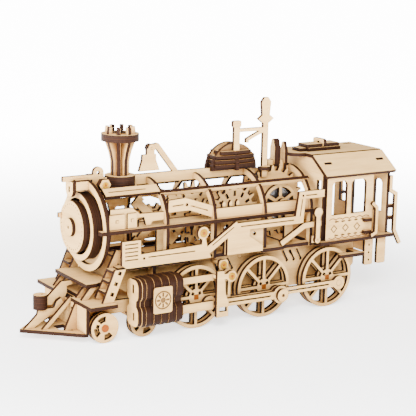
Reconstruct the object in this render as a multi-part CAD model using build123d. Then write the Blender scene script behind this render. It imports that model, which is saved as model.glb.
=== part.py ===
from build123d import *
from math import atan2, ceil, cos, degrees, hypot, pi, radians, sin, sqrt
import os

# A clockwork steam locomotive built from 3 mm laser-cut plywood, about 362 mm long.
# Axes: +X forward, +Y to the locomotive's left, +Z up, with the drive wheels standing on z = 0.
# Every plate is cut from one sheet thickness; slots and engraved lines are narrow cuts.

# ---------------------------------------------------------------- driving dimensions (mm)
SHEET = 3.0                 # plywood thickness
HALF_LENGTH = 181.2         # bumper tip and rear handrails, either side of x = 0
LINE = 0.8                  # width of an engraved line
ENGRAVE = 0.5               # depth of an engraved pattern that does not go through
PLAY = 0.08                 # radial running clearance of a shaft in its hole

DRIVE_R = 27.0              # drive wheel radius
DRIVE_PITCH = 68.45         # distance between drive axles
MAIN_X = -28.65             # middle drive axle
DRIVE_X = (MAIN_X + DRIVE_PITCH, MAIN_X, MAIN_X - DRIVE_PITCH)
WHEEL_FACE = 40.2           # outer face of a drive wheel
CRANK_R = 12.2              # crank throw
CRANK_ANGLE = 208.9         # left crank at rest, from +X towards +Z
SHAFT_R = 3.0               # drive axle
PIN_R = 2.6                 # crank pin

PILOT_R = 12.4              # small leading wheel radius
PILOT_X = (125.1, 89.5)     # small wheel axles
PILOT_FACE = 40.0

AXIS_Z = 88.3               # boiler centre line
BOILER_R = 36.0
SMOKEBOX_R = 37.5
RING_WIDTH = 5.0
SMOKEBOX_X = 120.0          # full ring at the back of the smokebox front
RIB_LAP = 2.5               # depth of the half-lap joints in the ribs
SPINE_TOP = 127.0
SPINE_LOW = 118.5           # underside of the spine over the gears
SPINE_LAP = 121.5           # half-lap level of the spine and the ribs
RING_X = (64.0, 18.0, -33.0, -82.0)

BOARD_Z = 57.0              # underside of the running boards
FRAME_Y = 24.0              # inner face of a side frame
BAND_Z = 87.0               # underside of the boiler side band

CAB_FRONT = -93.0
CAB_REAR = -163.5
CAB_Y = 38.0                # inner face of a cab side
ROOF_FRONT = -88.5
ROOF_REAR = -167.0
EAVE_Y, EAVE_Z = 44.0, 116.5
RIDGE_Y, RIDGE_Z = 22.5, 132.0

ROD_Y = 41.2                # inner face of a coupling rod
BAR_Y = 44.7                # inner face of the slide bars and valve levers
MAIN_ROD_Y = 48.2           # inner face of a main rod
BRACKET_Y = 51.7            # inner face of a motion bracket

MODULE = 2.5                # gear module
SHAFT_G = 2.0               # gear shaft radius
GEAR_BAR_Y = 19.0           # inner face of the bars that carry the gear shafts


# ---------------------------------------------------------------- plates and outlines
def plate_x(outline, x, thick=SHEET):
    """A plate across the locomotive; the outline is drawn in (y, z)."""
    plane = Plane(origin=(x, 0, 0), x_dir=(0, 1, 0), z_dir=(1, 0, 0))
    return extrude(plane * outline, thick, dir=(1, 0, 0))


def plate_y(outline, y, thick=SHEET):
    """A plate along the locomotive; the outline is drawn in (x, z)."""
    plane = Plane(origin=(0, y + thick, 0), x_dir=(1, 0, 0), z_dir=(0, -1, 0))
    return extrude(plane * outline, thick, dir=(0, -1, 0))


def plate_z(outline, z, thick=SHEET):
    """A level plate; the outline is drawn in (x, y)."""
    return extrude(Plane(origin=(0, 0, z)) * outline, thick, dir=(0, 0, 1))


def shape(*points):
    """A closed outline; the points may run either way round."""
    area = sum(p[0] * q[1] - q[0] * p[1] for p, q in zip(points, [*points[1:], points[0]]))
    return Polygon(*(points if area > 0 else points[::-1]), align=None)


def rect(u0, u1, v0, v1):
    return Pos((u0 + u1) / 2, (v0 + v1) / 2) * Rectangle(abs(u1 - u0), abs(v1 - v0))


def disc(u, v, r):
    return Pos(u, v) * Circle(r)


def bar(p, q, width, grow=0.0):
    """A straight strip from p to q, lengthened by grow at both ends."""
    length = hypot(q[0] - p[0], q[1] - p[1])
    turn = degrees(atan2(q[1] - p[1], q[0] - p[0]))
    return Pos((p[0] + q[0]) / 2, (p[1] + q[1]) / 2) * Rot(0, 0, turn) * Rectangle(length + 2 * grow, width)


def strip(points, width):
    """A bent strip with round corners."""
    face = bar(points[0], points[1], width)
    for p, q in zip(points[1:], points[2:]):
        face += disc(*p, width / 2) + bar(p, q, width)
    return face


def rounded(outline, r):
    return fillet(outline.vertices(), r)


def ring(u, v, outer, inner):
    return disc(u, v, outer) - disc(u, v, inner)


def twins(part):
    """The part and its mirror image on the right-hand side."""
    return [part, mirror(part, about=Plane.XZ)]


def save(name, *pieces):
    """Write one node: each piece stays a separate solid."""
    solids = []
    for piece in pieces:
        for item in (piece if isinstance(piece, list) else [piece]):
            solids.extend(item.solids())
    export_step(Compound(children=solids), f"parts/{name}.step")


def shaft_y(x, z, y0, y1, r):
    return Pos(x, y1, z) * Rot(90, 0, 0) * Cylinder(r, y1 - y0, align=(Align.CENTER, Align.CENTER, Align.MIN))


def peg_y(x, z, y0, y1, side=4.0):
    return Pos(x, (y0 + y1) / 2, z) * Box(side, y1 - y0, side)


# ---------------------------------------------------------------- drive wheels and rods
SPOKES = 8
HUB_R = 7.0
RIM = 3.2
SPOKE_W = 2.6
WHEEL_GAP = 3.0             # space between the two discs of one wheel
EYE_R = 6.2                 # rod eye


def crank_offset(angle):
    return CRANK_R * cos(radians(angle)), CRANK_R * sin(radians(angle))


def wheel_outline(x, z, angle):
    """A spoked disc with a boss for the crank pin."""
    face = ring(x, z, DRIVE_R, DRIVE_R - RIM) + disc(x, z, HUB_R)
    for i in range(SPOKES // 2):
        a = radians(90 + 180 / (SPOKES / 2) * i)
        reach = DRIVE_R - RIM / 2
        face += bar((x - reach * cos(a), z - reach * sin(a)), (x + reach * cos(a), z + reach * sin(a)), SPOKE_W)
    dx, dz = crank_offset(angle)
    return face + disc(x + dx, z + dz, 5.4) + bar((x, z), (x + dx, z + dz), 8.0)


def wheel_holes(x, z):
    """Two square locking holes beside the axle."""
    return (Pos(x + 3.4, z + 2.9) * Rot(0, 0, 30) * Rectangle(2.6, 2.6)
            + Pos(x - 3.4, z + 2.9) * Rot(0, 0, -30) * Rectangle(2.6, 2.6))


def drive_wheel(x, angle):
    """Left wheel: two spoked discs either side of a small spacer, and the hub left open for the axle."""
    z = DRIVE_R
    dx, dz = crank_offset(angle)
    axle_hole = Pos(x, z) * Rectangle(4.0, 4.0)
    outer_face = wheel_outline(x, z, angle) - wheel_holes(x, z) - axle_hole - disc(x + dx, z + dz, PIN_R)
    inner_face = wheel_outline(x, z, angle) - disc(x, z, SHAFT_R)
    spacer = disc(x, z, 9.0) - disc(x, z, SHAFT_R)
    y = WHEEL_FACE - SHEET
    return [
        plate_y(outer_face, y),
        plate_y(spacer, y - WHEEL_GAP, WHEEL_GAP),
        plate_y(inner_face, y - WHEEL_GAP - SHEET),
    ]


def wheel_pair(x):
    """Left wheel, and the right wheel a quarter turn ahead."""
    left = drive_wheel(x, CRANK_ANGLE)
    right = [mirror(p, about=Plane.XZ) for p in drive_wheel(x, CRANK_ANGLE - 90)]
    return left + right


def drive_axle(x):
    """Round axle with square ends that lock the outer discs."""
    y = WHEEL_FACE - SHEET
    ends = [peg_y(x, DRIVE_R, side * (y + 1.8) - 1.8, side * (y + 1.8) + 1.8) for side in (1, -1)]
    return shaft_y(x, DRIVE_R, -y, y, SHAFT_R) + ends[0] + ends[1]


def crank_pin(x, angle, reach):
    dx, dz = crank_offset(angle)
    return shaft_y(x + dx, DRIVE_R + dz, WHEEL_FACE - SHEET, reach, PIN_R)


def main_pin(angle):
    """The long middle pin with its spacer and its two cap discs."""
    dx, dz = crank_offset(angle)
    x, z = MAIN_X + dx, DRIVE_R + dz
    spacer = plate_y(ring(x, z, 5.6, PIN_R), ROD_Y + SHEET + 0.3, MAIN_ROD_Y - ROD_Y - SHEET - 0.6)
    cap = plate_y(ring(x, z, 5.6, 1.4), MAIN_ROD_Y + SHEET + 0.3, SHEET)
    peg = peg_y(x, z, MAIN_ROD_Y + SHEET + 0.3, MAIN_ROD_Y + 2 * SHEET + 0.9, 1.9)
    return [crank_pin(MAIN_X, angle, MAIN_ROD_Y + SHEET + 0.2), spacer, cap, peg]


def coupling_rod(angle):
    """One rod over all three crank pins, with long slots between the eyes."""
    dx, dz = crank_offset(angle)
    pins = [(x + dx, DRIVE_R + dz) for x in DRIVE_X]
    face = bar(pins[0], pins[2], 6.2)
    for p in pins:
        face += disc(*p, EYE_R)
    for p, q in zip(pins, pins[1:]):
        middle = ((p[0] + q[0]) / 2, p[1])
        face -= rect(middle[0] - 23, middle[0] + 23, middle[1] - 0.6, middle[1] + 0.6)
    for p in pins:
        face -= disc(*p, PIN_R + PLAY)
    return plate_y(face, ROD_Y)


MAIN_ROD_FRONT = 24.0       # x of the front end of the left main rod at rest


def main_rod(angle):
    """Rod from the middle crank pin forward to the motion bracket."""
    dx, dz = crank_offset(angle)
    pin = (MAIN_X + dx, DRIVE_R + dz)
    length = MAIN_ROD_FRONT - MAIN_X - crank_offset(CRANK_ANGLE)[0]
    front = (pin[0] + length, pin[1] + 0.6)
    face = bar(pin, front, 6.6) + disc(*pin, EYE_R + 1.6) + disc(*front, 3.3)
    face -= disc(*pin, PIN_R + PLAY)
    face -= bar((pin[0] + 11, pin[1] + 0.1), (front[0] - 6, front[1]), 1.2)
    return plate_y(face, MAIN_ROD_Y)


# ---------------------------------------------------------------- small leading wheels
def pilot_wheel(x):
    """Solid disc with three sector slots and one square hole, doubled by an inner disc."""
    z = PILOT_R
    sector = ring(x, z, 9.8, 5.2)
    face = disc(x, z, PILOT_R) - disc(x, z, 2.0)
    for turn in (70, -20, -110):
        wedge = shape((x, z), *[(x + 20 * cos(radians(turn + a)), z + 20 * sin(radians(turn + a)))
                                for a in (-24, 24)])
        face -= sector & wedge
    square = Pos(x + 6.6, z + 2.2) * Rot(0, 0, 20) * Rectangle(3.0, 3.0)
    plain = ring(x, z, PILOT_R, 2.0)
    return [
        plate_y(face - square, PILOT_FACE - SHEET),
        plate_y(disc(x, z, 6.0) - disc(x, z, 2.0), PILOT_FACE - SHEET - 1.6, 1.6),
        plate_y(plain, PILOT_FACE - 2 * SHEET - 1.6),
        shaft_y(x, z, PILOT_FACE, PILOT_FACE + 1.0, 3.0),
    ]


def pilot_wheelset(x):
    wheels = [item for part in pilot_wheel(x) for item in twins(part)]
    return wheels + [shaft_y(x, PILOT_R, -PILOT_FACE, PILOT_FACE, 2.0)]


# ---------------------------------------------------------------- gears
def gear_outline(x, z, teeth, phase):
    """Straight-flanked gear; phase is the direction of one tooth in degrees."""
    pitch_r = MODULE * teeth / 2
    points = []
    for i in range(teeth):
        middle = phase + 360 * i / teeth
        for r, part in ((-1.15, -0.27), (0.75, -0.115), (0.75, 0.115), (-1.15, 0.27)):
            a = radians(middle + part * 360 / teeth)
            points.append((x + (pitch_r + r * MODULE) * cos(a), z + (pitch_r + r * MODULE) * sin(a)))
    return shape(*points)


BARREL_TEETH, SECOND_PINION, SECOND_TEETH = 24, 12, 18
THIRD_PINION, THIRD_TEETH, FAN_PINION = 10, 20, 10
IDLER_TEETH, AXLE_TEETH = 11, 14
GEAR_Z = 89.5
BARREL_RISE, FAN_DROP = 3.5, 3.0


def centre_distance(a, b):
    return MODULE * (a + b) / 2


BARREL = (-59.5, GEAR_Z + BARREL_RISE)
SECOND = (BARREL[0] + sqrt(centre_distance(BARREL_TEETH, SECOND_PINION) ** 2 - BARREL_RISE ** 2), GEAR_Z)
THIRD = (SECOND[0] + centre_distance(SECOND_TEETH, THIRD_PINION), GEAR_Z)
FAN = (THIRD[0] + sqrt(centre_distance(THIRD_TEETH, FAN_PINION) ** 2 - FAN_DROP ** 2), GEAR_Z - FAN_DROP)
AXLE = (MAIN_X, DRIVE_R)


def idler_centre():
    """Where an idler meets both the second wheel and the axle gear."""
    a = centre_distance(SECOND_TEETH, IDLER_TEETH)
    b = centre_distance(AXLE_TEETH, IDLER_TEETH)
    span = hypot(SECOND[0] - AXLE[0], SECOND[1] - AXLE[1])
    along = (a * a - b * b + span * span) / (2 * span)
    aside = sqrt(a * a - along * along)
    ux, uz = (AXLE[0] - SECOND[0]) / span, (AXLE[1] - SECOND[1]) / span
    return SECOND[0] + ux * along - uz * aside, SECOND[1] + uz * along + ux * aside


def bearing(p, q):
    return degrees(atan2(q[1] - p[1], q[0] - p[0]))


def meshed_phase(own, own_teeth, other, other_teeth, other_phase):
    """Tooth direction that puts a gap opposite a tooth of the other gear."""
    line = bearing(other, own)
    past_tooth = (line - other_phase) / (360 / other_teeth)
    return line + 180 + (past_tooth + 0.5) * 360 / own_teeth


INNER_Y, MIDDLE_Y, OUTER_Y = -3.5, 3.0, 9.5      # inner faces of the three gear layers


def slotted_wheel(centre, teeth, phase, slots, slot_r):
    """A gear lightened by a ring of short radial slots."""
    x, z = centre
    face = gear_outline(x, z, teeth, phase) - disc(x, z, SHAFT_G)
    for i in range(slots):
        a = 360 / slots * i
        face -= Pos(x, z) * Rot(0, 0, a) * Pos(slot_r, 0) * Rectangle(4.6, 2.4)
    return face


def gear_shaft(centre, y0=-GEAR_BAR_Y - SHEET, y1=GEAR_BAR_Y + SHEET):
    return shaft_y(*centre, y0, y1, SHAFT_G)


def make_gears():
    idler = idler_centre()
    second_phase = 7.0
    idler_phase = meshed_phase(idler, IDLER_TEETH, SECOND, SECOND_TEETH, second_phase)
    axle_phase = meshed_phase(AXLE, AXLE_TEETH, idler, IDLER_TEETH, idler_phase)
    pinion_phase = 4.0
    barrel_phase = meshed_phase(BARREL, BARREL_TEETH, SECOND, SECOND_PINION, pinion_phase)
    third_phase = meshed_phase(THIRD, THIRD_PINION, SECOND, SECOND_TEETH, second_phase)
    wheel_phase = 3.0
    fan_phase = meshed_phase(FAN, FAN_PINION, THIRD, THIRD_TEETH, wheel_phase)

    x, z = BARREL
    windows = ring(x, z, 14.6, 6.4)
    cover = disc(x, z, 17.6) - disc(x, z, SHAFT_G)
    for i in range(6):
        a = radians(60 * i + 30)
        windows -= bar((x, z), (x + 20 * cos(a), z + 20 * sin(a)), 3.0)
    barrel_gear = gear_outline(x, z, BARREL_TEETH, barrel_phase) - disc(x, z, SHAFT_G)
    save("spring_barrel",
         plate_y(barrel_gear, MIDDLE_Y),
         plate_y(cover - windows, 14.6),
         plate_y(ring(x, z, 17.6, 15.6), MIDDLE_Y + SHEET, 14.6 - MIDDLE_Y - SHEET),
         gear_shaft(BARREL))
    save("mainspring", mainspring(x, z))

    save("second_wheel",
         plate_y(slotted_wheel(SECOND, SECOND_TEETH, second_phase, 12, 15.5), OUTER_Y),
         plate_y(gear_outline(*SECOND, SECOND_PINION, pinion_phase) - disc(*SECOND, SHAFT_G), MIDDLE_Y),
         gear_shaft(SECOND))
    save("third_wheel",
         plate_y(gear_outline(*THIRD, THIRD_PINION, third_phase) - disc(*THIRD, SHAFT_G), OUTER_Y),
         plate_y(slotted_wheel(THIRD, THIRD_TEETH, wheel_phase, 12, 18.0)
                 - disc(THIRD[0] + 4, THIRD[1] - 14, 4.5),
                 INNER_Y),
         gear_shaft(THIRD))

    x, z = FAN
    blades = disc(x, z, 8.0)
    for a in (45, 135):
        r = 24.5
        p = (x - r * cos(radians(a)), z - r * sin(radians(a)))
        q = (x + r * cos(radians(a)), z + r * sin(radians(a)))
        blades += bar(p, q, 7.0)
        blades += Pos(*p) * Rot(0, 0, a) * Rectangle(6.0, 11.0) + Pos(*q) * Rot(0, 0, a) * Rectangle(6.0, 11.0)
    save("governor_fan",
         plate_y(gear_outline(x, z, FAN_PINION, fan_phase) - disc(x, z, SHAFT_G), INNER_Y),
         plate_y(blades - disc(x, z, SHAFT_G), INNER_Y + SHEET),
         gear_shaft(FAN))
    save("idler_gear",
         plate_y(gear_outline(*idler, IDLER_TEETH, idler_phase) - disc(*idler, SHAFT_G), OUTER_Y),
         shaft_y(*idler, -FRAME_Y - SHEET, FRAME_Y + SHEET, SHAFT_G))
    axle_gear = plate_y(gear_outline(*AXLE, AXLE_TEETH, axle_phase) - disc(*AXLE, SHAFT_R), OUTER_Y)
    return axle_gear


def mainspring(x, z):
    """Steel strip wound from the arbor outwards, as half turns on two centres."""
    pitch, thick, inner = 1.5, 0.7, 3.6
    coil = ring(x, z, inner + 0.1, SHAFT_G)
    for i in range(14):
        r = inner + pitch / 2 * i
        side = 1 if i % 2 == 0 else -1
        offset = 0 if i % 2 == 0 else -pitch / 2
        coil += ring(x + offset, z, r + thick, r) & rect(x - 30, x + 30, z, z + side * 30)
    return plate_y(coil, 6.4, 7.8)


# ---------------------------------------------------------------- chassis
CROSS_X = (100.0, 62.0, 8.0, -68.0, -128.0)


def make_frames():
    """Two long side frames with axle holes, slanted slots and a chamfered tail."""
    idler = idler_centre()
    outline = shape((110, BOARD_Z), (110, 42), (100, 36), (74, 36), (66, 20), (-106, 20), (-114, 26),
                    (-131, 26), (-137, 32), (-137, BOARD_Z))
    outline += rect(idler[0] - 7, idler[0] + 7, BOARD_Z - 4, idler[1] + 6)
    for x in DRIVE_X:
        outline -= disc(x, DRIVE_R, SHAFT_R + PLAY)
    outline -= disc(*idler, SHAFT_G + PLAY)
    for i in range(3):
        x = -57 - 7.4 * i
        outline -= bar((x, 52.5), (x - 5.6, 42.5), 2.4)
    for i in range(3):
        x = 16 - 7.4 * i
        outline -= bar((x, 52.5), (x - 5.6, 42.5), 2.4)
    outline -= disc(-62.9, 30, 1.4)
    save("side_frames", twins(plate_y(outline, FRAME_Y)))
    crosses = [plate_x(rect(-FRAME_Y, FRAME_Y, 40, BOARD_Z), x) for x in CROSS_X]
    carriers = twins(plate_x(rect(FRAME_Y + SHEET, 35.2, 40, BOARD_Z), 76.0))
    pillar = plate_x(rect(-FRAME_Y, FRAME_Y, DECK_Z - 0.1, BOARD_Z + 8), 106.0)
    save("frame_crossmembers", crosses, carriers, pillar)


BOARD_EDGE = ((113, 38.4), (46, 38.4), (42, 34.2), (-27, 34.2), (-27, 38.6), (-49, 38.6), (-53, 35.2),
              (-84, 35.2), (-86, 43.6), (-169, 43.6))


def make_running_boards():
    """Left and right boards with stepped outer edges."""
    inner = 28.5
    outline = shape(*BOARD_EDGE, (-169, inner), (109, inner), (109, 30.3), (113, 30.3))
    for x in RING_X:
        outline -= rect(x, x + SHEET, 31, 36)
    board = plate_z(outline, BOARD_Z)
    floor = plate_z(rect(-169, -84, -28.5, 28.5), BOARD_Z)
    save("running_boards", twins(board), floor)


def arch(r):
    """Half disc on two straight legs that stand on the running boards."""
    return (disc(0, AXIS_Z, r) & rect(-r, r, AXIS_Z, AXIS_Z + r)) + rect(-r, r, BOARD_Z, AXIS_Z)


def both_sides(outline):
    """An outline in (y, z) and its mirror image."""
    return outline + mirror(outline, about=Plane.YZ)


STRINGER_TURN = 42.0        # from the top of the boiler to a stringer, in degrees


def make_boiler():
    """Arched ribs, side bands, slanted stringers and the spine, all half-lapped where they cross."""
    inner_r = BOILER_R - RING_WIDTH
    rib = arch(BOILER_R) - arch(inner_r)
    rib -= both_sides(rect(BOILER_R - RIB_LAP, BOILER_R + 1, BAND_Z, BAND_Z + SHEET))
    rib -= rect(-SHEET / 2, SHEET / 2, SPINE_LAP, 130)
    for side in (1, -1):
        turn = Pos(0, AXIS_Z) * Rot(0, 0, 90 - side * STRINGER_TURN)
        rib -= turn * rect(BOILER_R - RIB_LAP, BOILER_R + 2, -SHEET / 2, SHEET / 2)
    save("boiler_ribs", [plate_x(rib, x) for x in RING_X])

    band = rect(RING_X[-1], SMOKEBOX_X + 6.7, 30.6, BOILER_R + 0.6)
    for x in RING_X:
        band -= rect(x, x + SHEET, 30, BOILER_R - RIB_LAP)
    band -= rect(SMOKEBOX_X, SMOKEBOX_X + SHEET, 30, 34.5)

    start, end = RING_X[-1] - 2.0, RING_X[0] + SHEET
    stringer = Pos((start + end) / 2, 0, 34.8) * Box(end - start, SHEET, 4.6)
    for x in RING_X:
        stringer -= Pos(x + SHEET / 2, 0, BOILER_R - RIB_LAP - 5) * Box(SHEET, 4, 10)
    stringer = Pos(0, 0, AXIS_Z) * Rot(-STRINGER_TURN, 0, 0) * stringer
    save("boiler_stringers", twins(plate_z(band, BAND_Z)), twins(stringer))

    deep = CHIMNEY_X - CHIMNEY_R - 2.5
    spine = shape((116.9, SPINE_TOP), (116.9, 112), (112, 109), (deep, 109), (deep, SPINE_LOW), (-84, SPINE_LOW),
                  (-84, 123), (-40, 123), (-40, SPINE_TOP))
    spine += rect(106.5, NOSE_X, NOSE_Z, NOSE_Z + 4.2) + disc(*EYELET, 4.8)
    spine -= disc(*EYELET, 1.3)
    spine -= rect(CHIMNEY_X - CHIMNEY_R, CHIMNEY_X + CHIMNEY_R, CHIMNEY_Z, 140)
    for x in RING_X:
        spine -= rect(x, x + SHEET, SPINE_LOW - 1, SPINE_LAP)
    spine -= rect(VALVE_X, VALVE_X + SHEET, VALVE_LAP, 130)
    save("spine", plate_y(spine, -SHEET / 2))


EYELET = (111.5, 131.2)     # ring on the front end of the spine
NOSE_X, NOSE_Z = 143.4, 125.9   # tip and underside of the spine's nose above the lamp
DOOR_X = 132.0              # back of the smokebox door
RING_A_X = 126.7


def make_smokebox():
    """Round door on its drum, and the narrow and full rings with the plate behind them."""
    door = disc(0, AXIS_Z, 21.4) - Pos(0, AXIS_Z) * Rectangle(2.0, 2.0)
    rivets = 32
    for i in range(rivets):
        a = radians(360 / rivets * i)
        door -= disc(18.6 * cos(a), AXIS_Z + 18.6 * sin(a), 0.45)
    drum = []
    for i, radius in enumerate((20.8, 16.0, 16.0, 16.0)):
        drum.append(plate_x(disc(0, AXIS_Z, radius), DOOR_X - SHEET * (i + 1)))
    hub = plate_x(disc(0, AXIS_Z, 7.5) - Pos(0, AXIS_Z) * Rectangle(2.0, 2.0), DOOR_X + SHEET)
    catch = Pos(DOOR_X + SHEET + 1.5, -18.8, 94.8) * Box(3.0, 2.4, 4.0)
    save("smokebox_door", plate_x(door, DOOR_X), drum, hub, catch)

    full = ring(0, AXIS_Z, SMOKEBOX_R, 32.0) - both_sides(rect(34.5, 39, BAND_Z, BAND_Z + SHEET))
    back = ring(0, AXIS_Z, 34.0, 6.0) - both_sides(rect(30.5, 39, BAND_Z, BAND_Z + SHEET))
    back -= both_sides(rect(32.4, 39, BAND_Z + SHEET, 102.5))
    narrow = ring(0, AXIS_Z, 28.0, 23.2)
    spacer = ring(0, AXIS_Z, 27.4, 23.6)
    middle = SMOKEBOX_X + SHEET
    save("smokebox_rings",
         plate_x(back, SMOKEBOX_X - SHEET), plate_x(full, SMOKEBOX_X), plate_x(spacer, SMOKEBOX_X),
         plate_x(spacer, middle, RING_A_X - middle), plate_x(narrow, RING_A_X))


def make_cladding():
    """Side plates between the ribs: smokebox panels, the engraved zigzag plates and the toothed strips."""
    front, rear = SMOKEBOX_X - SHEET - 0.1, RING_X[0] + SHEET
    side = shape((front, BAND_Z + SHEET), (front, 106.5), (97, 106.5), (90, 101), (rear, 100.5), (rear, 94),
                 (78, 94), (80, 91), (84, 91), (86, 98), (92, 98), (94, BAND_Z + SHEET))
    pieces = [plate_y(side, 29.4)]
    for x0, x1 in ((104.5, 118.5), (93.5, 102.0)):
        middle = (x0 + x1) / 2
        label = rect(x0, x1, 90.4, 102.5) - rect(middle - 1.3, middle + 1.3, 95.5, 98.1)
        pieces.append(plate_y(label, 32.4, 1.6))
        pieces.append(Pos(middle, 33.5, 96.8) * Box(2.4, 2.2, 2.4))
    length = front - rear
    panel = Box(length, 8.6, SHEET) - Pos(4, 0, SHEET / 2) * Box(34, LINE, 1.2)
    panel = Pos((front + rear) / 2, 0, 35.7) * panel
    panel = Pos(0, 0, AXIS_Z) * Rot(-35.5, 0, 0) * panel
    zigzag = shape((63.9, 109.5), (48, 110.5), (21, 101.5), (21, 91.5), (44, 99.8), (63.9, 99.6))
    zigzag -= bar((60, 104.6), (50, 105.0), LINE) + disc(46.4, 104.6, 1.3) + bar((43, 103.6), (26, 98), LINE)
    pieces.append(plate_y(zigzag, 30.6))
    for x0, x1 in ((RING_X[2] + SHEET, RING_X[1]), (RING_X[3] + SHEET, RING_X[2])):
        pieces.append(plate_y(rect(x0 + 0.1, x1 - 0.1, BAND_Z + SHEET, 98.6), 30.7))
    teeth = rect(-9, 12, 94, 97)
    for x in (-6.0, 1.0, 8.0):
        teeth += shape((x - 1.6, 96), (x - 1.6, 101.5), (x, 103.8), (x + 1.6, 101.5), (x + 1.6, 96))
    pieces.append(plate_y(teeth, 27.7))
    save("boiler_cladding", [t for p in pieces for t in twins(p)], twins(panel))


def make_headlamp():
    """Lamp box on the smokebox, and the six-sided side lamps on their shelf."""
    middle = NOSE_Z - 6.4
    face = disc(0, middle, 6.4) + rect(-6.4, 6.4, middle, NOSE_Z) - rect(-1.1, 1.1, middle - 2.2, middle + 2.4)
    cheek = rect(SMOKEBOX_X + SHEET, 134, 119, NOSE_Z)
    lid = plate_z(rect(SMOKEBOX_X + SHEET, 134, SHEET / 2, 6.2), NOSE_Z, 1.5)
    shelf = plate_z(rect(106, 116.8, SHEET / 2, 15.0), 115.4)
    hexagon = Pos(112.2, 123.2) * RegularPolygon(5.2, 6)
    plates = [plate_y(cheek, 3.2), lid, shelf, plate_y(hexagon, 9.0), plate_y(hexagon, 12.0)]
    save("headlamp", plate_x(face, 134.0), [t for p in plates for t in twins(p)])


CHIMNEY_X, CHIMNEY_R, CHIMNEY_Z = 91.0, 12.6, 112.8
CAP_R, CAP_Z = 15.6, 156.2
CAP_LAYERS = 2


def make_chimney():
    """Layered base, eight flaring ribs and a layered cap that the ribs pass through."""
    top = CHIMNEY_Z + 5 * SHEET
    base = [plate_z(disc(CHIMNEY_X, 0, CHIMNEY_R), CHIMNEY_Z + i * SHEET) for i in range(5)]
    rib = shape((3.9, top), (7.6, top), (7.8, 140), (9.4, 147), (12.6, CAP_Z), (12.6, 163), (12.0, 168.0),
                (9.2, 168.0), (9.2, 163), (3.9, 163))
    ribs = []
    for i in range(8):
        ribs.append(Pos(CHIMNEY_X, 0, 0) * Rot(0, 0, 45 * i + 10) * plate_y(rib, -SHEET / 2))
    cap = []
    for i in range(CAP_LAYERS):
        layer = plate_z(ring(CHIMNEY_X, 0, CAP_R, 6.5), CAP_Z + i * SHEET)
        for r in ribs:
            layer -= r
        cap.append(layer)
    save("chimney_discs", base, cap)
    save("chimney_ribs", ribs)


BELL_PIN = (63.7, 148.4)


def make_bell():
    """Bent bracket on the spine, and the bell plate that swings on its pin."""
    bracket = strip([(37.0, 125.0), (56.6, 149.6), BELL_PIN], 4.6) + disc(*BELL_PIN, 3.4)
    bracket -= disc(*BELL_PIN, 1.0) + rect(20, 55, 110, SPINE_TOP)
    pin = shaft_y(*BELL_PIN, -SHEET / 2, 5.2, 1.0)
    save("bell_bracket", plate_y(bracket, -SHEET / 2), pin)
    x, z = BELL_PIN[0] + 2.1, BELL_PIN[1]
    body = shape((x - 6.2, z - 5.0), (x - 6.4, z - 10), (x - 9.8, z - 18.7), (x + 9.7, z - 18.7),
                 (x + 7.0, z - 10), (x + 6.6, z - 5.0))
    loop = disc(*BELL_PIN, 3.4) + rect(BELL_PIN[0] - 2.6, BELL_PIN[0] + 4.6, z - 7, z)
    save("bell", plate_y(body + loop - disc(*BELL_PIN, 1.0 + PLAY), 1.9))


DOME_X, DOME_Z, DOME_R = -17.7, 124.6, 23.0
DOME_Y = 6.2                # outer faces of the dome's two discs
POST_FOOT = DOME_Z + 16.8   # foot of the steam post, on the top slat
SLAT_THICK = 2.6
SLAT_HALF_WIDTH, BOW_R = 10.5, 70.2     # the long edges of the slats are bowed
SLATS = ((2.7, 20.3), (6.4, 20.3), (10.4, 19.6), (14.1, 15.3))  # height over DOME_Z, half length


def make_dome():
    """Two half discs and a cross rib, with four bowed slats through them."""
    offset = BOW_R - SLAT_HALF_WIDTH
    bow = disc(DOME_X, -offset, BOW_R) & disc(DOME_X, offset, BOW_R)
    slats = []
    for level, half in SLATS:
        outline = bow & rect(DOME_X - half, DOME_X + half, -SLAT_HALF_WIDTH, SLAT_HALF_WIDTH)
        slats.append(plate_z(outline, DOME_Z + level, SLAT_THICK))
    profile = Pos(0, DOME_Z) * Ellipse(11.6, 22.9) & rect(-15, 15, DOME_Z, DOME_Z + 40)
    profile -= rect(-SHEET / 2, SHEET / 2, DOME_Z - 1, SPINE_TOP)
    profile -= rect(DOME_Y, 12, POST_FOOT, DOME_Z + 40)
    rib = cut_by(plate_x(profile, DOME_X - SHEET / 2), slats)
    half_disc = disc(DOME_X, DOME_Z, DOME_R) & rect(DOME_X - 30, DOME_X + 30, DOME_Z, DOME_Z + 40)
    discs = twins(plate_y(half_disc, DOME_Y - SHEET))
    save("steam_dome", [cut_by(half, [*slats, rib]) for half in discs], slats, rib)


def cut_by(part, others):
    """The part with slots where the others pass through it."""
    for other in others:
        part -= other
    return part


WHISTLE_X = -47.6
FOOT_Z = 122.6


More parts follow.
